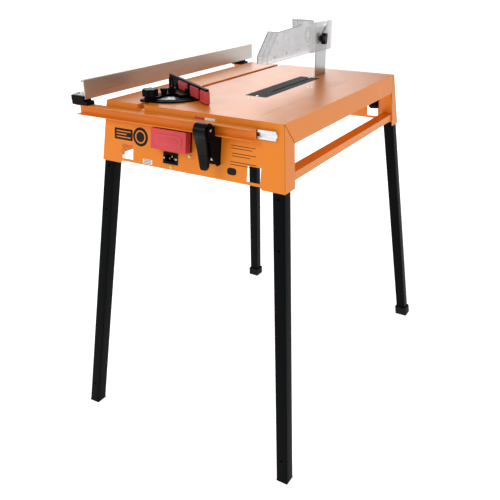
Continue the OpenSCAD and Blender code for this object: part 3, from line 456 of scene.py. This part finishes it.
def tube_mesh(place, half, radius, wall, top, floor):
    """A hollow square tube along the frame's Z, cut square on top and level at the floor."""
    form = bmesh.new()
    rings = []
    for size, level in ((0.0, "low"), (0.0, "high"), (wall, "high"), (wall, "low")):
        ring = []
        for x, y in rounded_outline(half - size, half - size, max(radius - size, LEAST_RADIUS)):
            start, along = place @ Vector((x, y, top)), place.to_3x3() @ Vector((0, 0, 1))
            if level == "low":
                start = start + along * ((floor - start.z) / along.z)
            ring.append(form.verts.new(start))
        rings.append(ring)
    count = len(rings[0])
    for a, b in zip(rings, rings[1:] + rings[:1]):
        for i in range(count):
            j = (i + 1) % count
            form.faces.new((a[i], a[j], b[j], b[i]))
    return closed_mesh(form, "tube")


def cylinder_mesh(place, radius, depth, sides=24):
    """A closed cylinder along the frame's Z, centred on its origin."""
    form = bmesh.new()
    bmesh.ops.create_cone(form, cap_ends=True, segments=sides, radius1=radius, radius2=radius,
                          depth=depth, matrix=place)
    return closed_mesh(form, "cylinder")


def joined(meshes, name):
    """One mesh out of several."""
    form = bmesh.new()
    for mesh in meshes:
        form.from_mesh(mesh)
    return written(form, name)


def cut_away(mesh, cutter, name):
    """The first mesh less the second."""
    body = bpy.data.objects.new("body", mesh)
    tool = bpy.data.objects.new("tool", cutter)
    for obj in (body, tool):
        bpy.context.scene.collection.objects.link(obj)
    cut = body.modifiers.new("cut", "BOOLEAN")
    cut.object, cut.operation, cut.solver = tool, "DIFFERENCE", "EXACT"
    made = flattened(body, name)
    bpy.data.objects.remove(tool)
    return soften(made)


for side, side_name in ((-1, "left"), (1, "right")):
    for end, end_name in ((-1, "front"), (1, "rear")):
        node = f"leg_{end_name}_{side_name}"
        middle = Matrix.Translation((-LEG_GAP - LEG_W / 2, LEG_GAP + LEG_W / 2, 0))
        axis = corner_frame(side, end) @ middle
        tube = tube_mesh(axis, LEG_W / 2, LEG_CORNER, LEG_WALL, LEG_TOP, LEG_END)
        holes = []
        for drop in LEG_HOLES:
            spot = Matrix.Translation((0, -LEG_W / 2, -drop * MM))
            across = spot @ Matrix.Rotation(math.pi / 2, 4, "X")
            holes.append(cylinder_mesh(axis @ across, HOLE_R, HOLE_DEPTH))
        leg = make_piece(node + "_tube", cut_away(tube, joined(holes, "holes"), node + "_tube"),
                         black_enamel, node)
        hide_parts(node)
print("4 legs, each with", len(LEG_HOLES), "holes")

# %% [markdown]
# ## Small repeated things
# Screw heads, spot welds, ribs and scale marks are each one small shape repeated along a
# line or an arc, which is what Geometry Nodes are for.  The trees below take their sizes
# as named inputs.  Each result is turned into a plain mesh before it rides on a body.

# %% Geometry Nodes helpers


class Tree:
    """A geometry node group with named inputs, for a modifier on an empty mesh."""

    def __init__(self, name):
        self.group = bpy.data.node_groups.new(name, "GeometryNodeTree")
        face = self.group.interface
        face.new_socket("Geometry", in_out="INPUT", socket_type="NodeSocketGeometry")
        face.new_socket("Geometry", in_out="OUTPUT", socket_type="NodeSocketGeometry")
        self.start = self.group.nodes.new("NodeGroupInput")
        self.end = self.group.nodes.new("NodeGroupOutput")
        self.keys = {}

    def input(self, name, kind="NodeSocketFloat"):
        made = self.group.interface.new_socket(name, in_out="INPUT", socket_type=kind)
        self.keys[name] = made.identifier
        return self.start.outputs[name]

    def node(self, kind, inputs=None, **settings):
        made = self.group.nodes.new(kind)
        for key, value in settings.items():
            setattr(made, key, value)
        for key, value in (inputs or {}).items():
            if isinstance(value, bpy.types.NodeSocket):
                self.group.links.new(value, made.inputs[key])
            else:
                made.inputs[key].default_value = value
        return made

    def close(self, geometry, material):
        real = self.node("GeometryNodeRealizeInstances", {"Geometry": geometry})
        paint = self.node("GeometryNodeSetMaterial", {"Geometry": real.outputs[0],
                                                       "Material": material})
        self.group.links.new(paint.outputs[0], self.end.inputs[0])


def grow(tree, name, values, place, material, body):
    """Runs a tree with these input values, and makes the result a piece at a place."""
    host = bpy.data.objects.new("host", bpy.data.meshes.new("host"))
    bpy.context.scene.collection.objects.link(host)
    modifier = host.modifiers.new("grow", "NODES")
    modifier.node_group = tree.group
    for key, value in values.items():
        modifier[tree.keys[key]] = value
    mesh = flattened(host, name)
    mesh.transform(place)
    if place.determinant() < 0:
        mesh.flip_normals()
    make_piece(name, soften(mesh), material, body)
    print(name, "has", len(mesh.polygons), "faces")


def row_tree(name, shape, material):
    """Copies of a shape along a straight line: count, start and step are inputs."""
    tree = Tree(name)
    count = tree.input("Count", "NodeSocketInt")
    start = tree.input("Start", "NodeSocketVector")
    step = tree.input("Step", "NodeSocketVector")
    line = tree.node("GeometryNodeMeshLine", {"Count": count, "Start Location": start,
                                            "Offset": step})
    source = tree.node("GeometryNodeObjectInfo", {"Object": shape})
    put = tree.node("GeometryNodeInstanceOnPoints",
                    {"Points": line.outputs[0], "Instance": source.outputs["Geometry"]})
    tree.close(put.outputs[0], material)
    return tree


def template(name, mesh):
    """A hidden source object for instancing; it is removed at the end."""
    obj = bpy.data.objects.new(name, mesh)
    bpy.context.scene.collection.objects.link(obj)
    obj.hide_render = True
    TEMPLATES.append(obj)
    return obj


TEMPLATES = []
print("geometry node helpers ready")

# %% [markdown]
# ### Screw heads
# The template is a dome turned as a lathe part would be, with a crossed slot sunk in it.
# It is a revolved outline that shares its points at the seam and the pole, so it is closed
# from the start.  The slot's two bars are cut one after the other, because a cutter that
# crosses itself leaves nothing behind.

# %% Screw head and weld shapes


def turned(outline, sides=20):
    """Revolves (radius, height) points about Z; the ends may lie on the axis."""
    form = bmesh.new()
    rings = []
    for radius, height in outline:
        count = 1 if radius < 1e-7 else sides
        rings.append([form.verts.new((radius * math.cos(math.tau * i / sides),
                                      radius * math.sin(math.tau * i / sides), height))
                      for i in range(count)])
    for a, b in zip(rings, rings[1:]):
        for i in range(sides):
            j = (i + 1) % sides
            corners = [a[i % len(a)], a[j % len(a)], b[j % len(b)], b[i % len(b)]]
            corners = [v for k, v in enumerate(corners) if v not in corners[:k]]
            if len(corners) > 2:
                form.faces.new(corners)
    for ring in (rings[0], rings[-1]):
        if len(ring) > 1:
            form.faces.new(ring)
    return soften(closed_mesh(form, "turned"))


def box_mesh(low, high):
    """A box between two corners."""
    form = bmesh.new()
    size = [h - l for l, h in zip(low, high)]
    middle = [(h + l) / 2 for l, h in zip(low, high)]
    bmesh.ops.create_cube(form, size=1,
                          matrix=Matrix.Translation(middle) @ Matrix.Diagonal((*size, 1)))
    return written(form, "box")


def screw_head(radius, height):
    dome = turned([(0, 0), (radius, 0), (radius, height * 0.35), (radius * 0.85, height * 0.8),
                   (radius * 0.5, height), (0, height * 1.05)])
    w, l = radius * 0.13, radius * 0.62
    for x, y in ((l, w), (w, l)):
        dome = cut_away(dome, box_mesh((-x, -y, height * 0.45), (x, y, height * 2)), "screw head")
    print("screw head of", len(dome.vertices), "points")
    return dome


small_head = template("small_head", screw_head(2.6 * MM, 1.3 * MM))
large_head = template("large_head", screw_head(4.4 * MM, 2.2 * MM))
weld_spot = template("weld_spot", turned([(0, 0), (3.4 * MM, 0), (3.0 * MM, 0.18 * MM),
                                          (1.9 * MM, 0.30 * MM), (1.5 * MM, 0.12 * MM),
                                          (0, 0.10 * MM)]))
small_screws = row_tree("small screws", small_head, plated_steel)
large_screws = row_tree("large screws", large_head, plated_steel)
weld_row = row_tree("weld row", weld_spot, orange_enamel)
print("screw and weld shapes ready")

# %% [markdown]
# The welds follow the corner seams, where the top's aprons lap the end panels.  A row
# needs only a start and a step, so each is one call.

# %% Place the screws and welds
GUARD_X, GUARD_FACE = 54.5, 14.95              # millimetres: middle of the guard, and its side
BRACKET_X = 72
FACE_FRONT = Matrix.Rotation(math.radians(90), 4, "X")      # local Z of a head points to -Y
FACE_RIGHT = Matrix.Rotation(math.radians(90), 4, "Y")      # local Z of a head points to +X
FACE_LEFT = Matrix.Rotation(math.radians(-90), 4, "Y")


def put_row(tree, name, count, start, step, place, turn, material, body):
    """A row whose start and step are given in the place's own frame, in millimetres."""
    inner = turn.inverted().to_3x3()
    values = {"Count": count, "Start": tuple(inner @ Vector([v * MM for v in start])),
              "Step": tuple(inner @ Vector([v * MM for v in step]))}
    grow(tree, name, values, place @ turn, material, body)


for side, side_name in ((-1, "left"), (1, "right")):
    put_row(weld_row, "welds_front_" + side_name, 4, (0, -331.5, -14), (0, 6.9, -9.4),
            side_frame(side), FACE_RIGHT, orange_enamel, "stand")
    put_row(weld_row, "welds_rear_" + side_name, 4, (0, 332, -14), (0, -3.3, -9.4),
            side_frame(side), FACE_RIGHT, orange_enamel, "stand")
    put_row(small_screws, "guard_screws_" + side_name, 4, (side * 15, -70, 88), (0, 62, 2),
            Matrix.Translation((GUARD_X * MM, MID_Y, TOP_Z)), FACE_RIGHT if side > 0 else FACE_LEFT,
            plated_steel, "guard")
put_row(small_screws, "inlet_screws", 2, (-63.8, -3, -113.5), (34.6, 0, 0), ON_FRONT,
        FACE_FRONT, plated_steel, "stand")
put_row(large_screws, "bracket_screw_heads", 2, (BRACKET_X, -6.1, -64), (0, 0, -32), ON_FRONT,
        FACE_FRONT, plated_steel, "stand")
print("rows placed")

# %% [markdown]
# ## The working surface
# The top is one big pressing.  Two shallow beads run along it to stiffen it.  They are
# drawn as half-buried lenses, which is all that shows of a shallow pressing.

# %% Pressed beads on the top


def bead_mesh(length, width, height, steps=8):
    """A shallow lens along Y that fades out at both ends."""
    form = bmesh.new()
    rows = []
    ends = 6
    stations = [(-0.5 + 0.5 * (1 - math.cos(math.pi * i / ends)) * 0.06) for i in range(ends + 1)]
    stations += [0.0] + [-s for s in reversed(stations)]
    for t in stations:
        fade = min(1.0, (0.5 - abs(t)) / 0.03)
        fade = math.sqrt(max(fade, 0.0) * (2 - max(fade, 0.0))) if fade < 1 else 1.0
        row = []
        for i in range(steps + 1):
            a = math.pi * i / steps
            row.append(form.verts.new((-width / 2 * math.cos(a) * max(fade, 0.05), t * length,
                                       height * math.sin(a) * max(fade, 0.05) - 0.00003)))
        rows.append(row)
    for a, b in zip(rows, rows[1:]):
        for i in range(steps):
            form.faces.new((a[i], b[i], b[i + 1], a[i + 1]))
        form.faces.new((a[0], a[-1], b[-1], b[0]))
    form.faces.new(rows[0])
    form.faces.new(rows[-1])
    return soften(closed_mesh(form, "bead"), 60)


for index, (x, low, high) in enumerate(((160, -300, 211), (-196, -250, 250))):
    bead = bead_mesh((high - low) * MM, 5 * MM, 0.35 * MM)
    bead.transform(ON_TABLE @ Matrix.Translation((x * MM, (low + high) / 2 * MM, 0)))
    make_piece(f"pressed_bead_{index + 1}", bead, orange_enamel, "stand")
print("2 pressed beads")

# %% [markdown]
# ## Corner seams
# Each corner is folded and spot welded: a slanted seam runs from the corner down to the
# apron's lower edge, and the end panel's fold leaves a line down the corner.  The shade
# that falls in both is painted on as dark strips, narrow and raised, so that they read from
# any distance.

# %% Seam strips
# Painted shade: this dark brown stands in for the shade that falls in the seams and folds.
painted_seam_shade = moulded("seam shadow", (0.030, 0.009, 0.002), 0.6, 0.00001, 0.0, 0.0, 0.1)


def strip_mesh(start, end, width, lift):
    """A thin bar between two points of a side's own frame, in millimetres, just off its face."""
    a, b = Vector((0, *start)) * MM, Vector((0, *end)) * MM
    along = (b - a).normalized()
    across = Vector((1, 0, 0)).cross(along) * width * MM / 2
    form = bmesh.new()
    rows = []
    for x in (-0.2 * MM, lift * MM):
        out = Vector((x, 0, 0))
        rows.append([form.verts.new(point + out)
                     for point in (a - across, a + across, b + across, b - across)])
    form.faces.new(rows[0])
    form.faces.new(rows[1])
    for i in range(4):
        j = (i + 1) % 4
        form.faces.new((rows[0][i], rows[0][j], rows[1][j], rows[1][i]))
    return closed_mesh(form, "strip")


APRON_H, PANEL_H = 50, 147
for side, side_name in ((-1, "left"), (1, "right")):
    for end, end_name, flange, lean in ((-1, "front", 40, FRONT_LEAN), (1, "rear", 22, REAR_LEAN)):
        run = math.tan(lean) * math.cos(SIDE_LEAN)
        slanted = strip_mesh((end * 338, -1.5), (end * (339 - flange), -APRON_H), 1.5, 0.12)
        fold = strip_mesh((end * (339 + run * 3), -3),
                          (end * (338.8 + run * PANEL_H), -PANEL_H + 1), 0.8, 0.12)
        seam = joined([slanted, fold], "seam")
        seam.transform(side_frame(side))
        if side < 0:
            seam.flip_normals()
        # Each strip carries the painted seam shade.
        make_piece(f"seam_{end_name}_{side_name}", seam, painted_seam_shade, "stand")
print("4 corner seams")

# %% [markdown]
# ## Labels
# Real tables carry printed labels.  Here they are plain: dark and light vinyl plates with
# rounded corners and a few bars and rings, which say nothing.  Each is a thin solid, so it
# also exists in the exported mesh.

# %% Vinyl plates


def plate_mesh(width, height, radius, thick):
    """A thin rounded plate in the XZ plane, its front at -Y."""
    form = bmesh.new()
    outline = rounded_outline(width / 2, height / 2, radius)
    back = [form.verts.new((x, 0, z)) for x, z in outline]
    front = [form.verts.new((x, -thick, z)) for x, z in outline]
    form.faces.new(back)
    form.faces.new(front)
    for i in range(len(outline)):
        j = (i + 1) % len(outline)
        form.faces.new((back[i], back[j], front[j], front[i]))
    return closed_mesh(form, "plate")


def panel_plate(name, x, s, width, height, material, thick=0.35,
                radius=2.0, out=0.0, body="stand"):
    """A plate on the front panel: x across, s down the slope, all in millimetres."""
    corner = min(radius, width / 2.01, height / 2.01) * MM
    mesh = plate_mesh(width * MM, height * MM, corner, thick * MM)
    mesh.transform(ON_FRONT @ Matrix.Translation((x * MM, -out * MM, -s * MM)))
    make_piece(name, soften(mesh), material, body)


def ring_mesh(radius, tube, sides=40):
    """A flat-bottomed ring that lies in the XZ plane."""
    outline = [(radius - tube, 0), (radius - tube, 0.3 * MM),
               (radius + tube, 0.3 * MM), (radius + tube, 0)]
    form = bmesh.new()
    angles = [math.tau * i / sides for i in range(sides)]
    rings = [[form.verts.new((r * math.cos(a), -h, r * math.sin(a))) for a in angles]
             for r, h in outline]
    for a, b in zip(rings, rings[1:] + rings[:1]):
        for i in range(sides):
            j = (i + 1) % sides
            form.faces.new((a[i], a[j], b[j], b[i]))
    return soften(closed_mesh(form, "ring"))


panel_plate("label_dark", -189, 76, 56, 27, dark_vinyl)
panel_plate("label_round", -137, 76, 45, 45, dark_vinyl, radius=22.5)
ring = ring_mesh(14 * MM, 1.6 * MM)
ring.transform(ON_FRONT @ Matrix.Translation((-137 * MM, -0.33 * MM, -76 * MM)))
make_piece("label_ring", ring, orange_enamel, "stand")
for i, (x, s, w) in enumerate(((-189, 69, 44), (-195, 76, 32), (-189, 83, 44))):
    panel_plate(f"label_bar_{i + 1}", x, s, w, 2.6, orange_enamel, 0.3, 1.0, 0.33)
panel_plate("sticker", -115, 132, 28, 11, white_vinyl, radius=1)
for i in range(3):
    panel_plate(f"sticker_line_{i + 1}", -115, 128.6 + 3.4 * i, 22, 1.1, dark_vinyl, thick=0.3,
                radius=0.4, out=0.33)
PRINTED = ((116, 60, 62), (116, 66, 54), (120, 77, 60), (120, 83, 46),
           (116, 96, 66), (116, 102, 50))       # left end, drop and length in millimetres
for i, (x, s, w) in enumerate(PRINTED):
    panel_plate(f"printed_bar_{i + 1}", x + w / 2, s, w, 1.3, dark_vinyl, thick=0.2, radius=0.5)
panel_plate("printed_mark", 121, 118, 24, 16, dark_vinyl, thick=0.2, radius=7)
panel_plate("pointer_red", 31, 12.6, 27, 7, red_plastic, radius=1)
panel_plate("pointer_white", 58, 12.6, 27, 7, white_vinyl, radius=1)
print("labels placed")

# %% [markdown]
# ## Stop flap, lever and guard
# The details people touch deserve real shapes.  The flap gets a raised field on its face,
# the lever gets grip ribs, and the clear guard two rings on each side of its dust outlet.

# %% Details of the controls
FLAP_X, FLAP_DROP, FLAP_OUT = -37.5, 69, 24.0
panel_plate("flap_field", FLAP_X, FLAP_DROP, 76, 27, pad_plastic, 0.9, 7,
            FLAP_OUT - 0.05, body="stop_flap")
panel_plate("flap_inner", FLAP_X, FLAP_DROP, 58, 11, red_plastic, 0.6, 5,
            FLAP_OUT + 0.8, body="stop_flap")
rib_bar = box_mesh((-7 * MM, -0.5 * MM, -0.9 * MM), (7 * MM, 1.5 * MM, 0.9 * MM))
rib = template("rib", bevelled(rib_bar, 0.5 * MM, 2, 38, "rib"))
rib_row = row_tree("grip ribs", rib, gloss_plastic)
LEVER_X, LEVER_FACE = BRACKET_X * MM, MID_Y - 397.3 * MM
grip = Matrix.Translation((LEVER_X, LEVER_FACE, 772 * MM))
grow(rib_row, "lever_ribs", {"Count": 6, "Start": (0, 0, 0), "Step": (0, 0.0002, -0.0045)},
     grip, gloss_plastic, "lock_lever")

OUTLET_Y, OUTLET_Z = 113, 974
for side, side_name in ((-1, "left"), (1, "right")):
    turn = Matrix.Rotation(math.radians(90 * side), 4, "Z")
    spot = Matrix.Translation(((GUARD_X + side * GUARD_FACE) * MM, MID_Y + OUTLET_Y * MM,
                               OUTLET_Z * MM))
    for name, radius, tube in (("outlet_ring_", 18, 2.2), ("outlet_rim_", 11, 1.2)):
        mesh = ring_mesh(radius * MM, tube * MM)
        mesh.transform(spot @ turn)
        make_piece(name + side_name, mesh, clear_guard, "guard")
print("controls detailed")

# %% [markdown]
# ## Mitre scale and fence rule
# Degree marks sit on the silver band of the quadrant.  The tree draws one tick for each
# degree, and a second run lays seven longer ones over the same arc.  All its points start
# at the pivot, and each tick is turned about it.  A rule's marks along the front rail are
# a plain row.

# %% Scale marks


def arc_tree(name, material):
    """Ticks along an arc about Z; radius, length and angles are inputs."""
    tree = Tree(name)
    count = tree.input("Count", "NodeSocketInt")
    radius, length = tree.input("Radius"), tree.input("Length")
    first, last = tree.input("First"), tree.input("Last")
    line = tree.node("GeometryNodeMeshLine", {"Count": count, "Offset": (0, 0, 0)})
    index = tree.node("GeometryNodeInputIndex")
    less = tree.node("ShaderNodeMath", {0: count, 1: 1.0}, operation="SUBTRACT")
    share = tree.node("ShaderNodeMath", {0: index.outputs[0], 1: less.outputs[0]},
                      operation="DIVIDE")
    span = tree.node("ShaderNodeMath", {0: last, 1: first}, operation="SUBTRACT")
    turn = tree.node("ShaderNodeMath", {0: share.outputs[0], 1: span.outputs[0], 2: first},
                     operation="MULTIPLY_ADD")
    spin = tree.node("ShaderNodeCombineXYZ", {"Z": turn.outputs[0]})
    size = tree.node("ShaderNodeCombineXYZ", {"X": length, "Y": 0.0005, "Z": 0.0003})
    cube = tree.node("GeometryNodeMeshCube", {"Size": size.outputs[0]})
    reach = tree.node("ShaderNodeCombineXYZ", {"X": radius})
    out = tree.node("GeometryNodeTransform", {"Geometry": cube.outputs[0],
                                                  "Translation": reach.outputs[0]})
    put = tree.node("GeometryNodeInstanceOnPoints",
                    {"Points": line.outputs[0], "Instance": out.outputs[0],
                     "Rotation": spin.outputs[0]})
    tree.close(put.outputs[0], material)
    return tree


SCALE_START, SCALE_END = -80, -48               # degrees
ticks = arc_tree("degree ticks", dark_vinyl)
scale_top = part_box("mitre_scale")[1].z
MITRE_X, MITRE_Y = -137 * MM, MID_Y - 221 * MM
pivot = Matrix.Translation((MITRE_X, MITRE_Y, scale_top + 0.1 * MM))
for name, count, radius, length in (("ticks_fine", 33, 72, 4), ("ticks_long", 7, 70, 8)):
    grow(ticks, name, {"Count": count, "Radius": radius * MM, "Length": length * MM,
                       "First": math.radians(SCALE_START), "Last": math.radians(SCALE_END)},
         pivot, dark_vinyl, "mitre_slider")
mark = template("mark", box_mesh((-0.3 * MM, -0.1 * MM, 0), (0.3 * MM, 0.12 * MM, 5 * MM)))
marks = row_tree("rule marks", mark, dark_vinyl)
grow(marks, "rail_rule", {"Count": 45, "Start": (0, 0, 0), "Step": (0.01, 0, 0)},
     Matrix.Translation((-290 * MM, MID_Y - 354.75 * MM - 0.05 * MM, 820 * MM)),
     dark_vinyl, "fence_carriage")
print("scales marked")

# %% [markdown]
# ## Fence trim and stud covers
# The extruded fence has two shallow lines along its face.  The two studs that carry the
# saw clamps end in small red covers, almost flush with the working surface.

# %% Fence lines and stud covers
for index, height in enumerate((13, 34)):
    bar = box_mesh((-283.06 * MM, MID_Y - 366 * MM, (850.8 + height) * MM),
                   (-282.75 * MM, MID_Y + 407 * MM, (850.8 + height + 1.2) * MM))
    line = bevelled(bar, 0.1 * MM, 1)
    # The fence lines share the aluminium with its painted orange reflection.
    make_piece(f"fence_line_{index + 1}", line, aluminium_with_painted_reflection, "fence_carriage")
for index, (x, y) in enumerate(((47, -150), (110, 49))):
    cover = turned([(0, 0), (3.6 * MM, 0), (3.4 * MM, 0.3 * MM), (2.4 * MM, 0.55 * MM),
                    (0, 0.65 * MM)])
    cover.transform(ON_TABLE @ Matrix.Translation((x * MM, y * MM, 0)))
    make_piece(f"stud_cover_{index + 1}", cover, red_plastic, "stand")
print("fence lines and stud covers placed")

# %% [markdown]
# ## Floor, light and camera
# A pale floor, a key light from the front left, a weaker one from the right, and a broad
# one behind that gives the top its sheen.  The sky is white to the camera and dimmer to the
# table, so that black parts stay black under it.  The camera stands at the right front, a
# little above the working surface.

# %% Set the stage
for obj in TEMPLATES:
    bpy.data.objects.remove(obj)
floor_mesh = bpy.data.meshes.new("floor")
FLOOR = 60                                      # metres each way from the middle
corners = [(x * FLOOR, y * FLOOR, 0) for x, y in ((-1, -1), (1, -1), (1, 1), (-1, 1))]
floor_mesh.from_pydata(corners, [], [(0, 1, 2, 3)])
floor = bpy.data.objects.new("floor", floor_mesh)
bpy.context.scene.collection.objects.link(floor)
pale = Recipe("pale floor")
pale.surface(Base_Color=(0.80, 0.80, 0.80, 1), Roughness=0.8, Specular_IOR_Level=0.05,
             Emission_Color=(1, 1, 1, 1), Emission_Strength=0.78)
floor_mesh.materials.append(pale.material)

world = bpy.data.worlds.new("soft sky")
world.use_nodes = True
sky = world.node_tree
seen = sky.nodes["Background"]
seen.inputs["Color"].default_value, seen.inputs["Strength"].default_value = (1, 1, 1, 1), 1.0
cast = sky.nodes.new("ShaderNodeBackground")
cast.inputs["Color"].default_value, cast.inputs["Strength"].default_value = (1, 1, 1, 1), 0.42
path = sky.nodes.new("ShaderNodeLightPath")
mix = sky.nodes.new("ShaderNodeMixShader")
sky.links.new(path.outputs["Is Camera Ray"], mix.inputs[0])
sky.links.new(cast.outputs[0], mix.inputs[1])
sky.links.new(seen.outputs[0], mix.inputs[2])
sky.links.new(mix.outputs[0], sky.nodes["World Output"].inputs["Surface"])
bpy.context.scene.world = world


def soft_light(name, place, aim, size, watts):
    lamp = bpy.data.lights.new(name, "AREA")
    lamp.shape, lamp.size, lamp.energy = "DISK", size, watts
    obj = bpy.data.objects.new(name, lamp)
    obj.location = place
    obj.rotation_euler = (Vector(aim) - Vector(place)).to_track_quat("-Z", "Y").to_euler()
    bpy.context.scene.collection.objects.link(obj)


soft_light("key", (-1.3, -3.2, 2.9), (0, 0, 0.7), 1.8, 46)
soft_light("side", (3.0, -1.6, 2.2), (0, 0, 0.7), 1.8, 26)
soft_light("sheen", (-2.4, 3.6, 2.6), (0.1, -0.1, 0.85), 3.0, 62)
bpy.context.scene.view_settings.view_transform = "Standard"

lens = bpy.data.cameras.new("camera")
lens.lens, lens.sensor_width = 44.74, 36
lens.shift_x, lens.shift_y = -0.0287, -0.0361
camera = bpy.data.objects.new("camera", lens)
camera.location = (0.830, -1.4487 + MID_Y, 1.1637)
aim = Vector((0, MID_Y, 0.425)) - camera.location
camera.rotation_euler = aim.to_track_quat("-Z", "Y").to_euler()
bpy.context.scene.collection.objects.link(camera)
bpy.context.scene.camera = camera
print("camera stands", round(aim.length, 2), "m away")
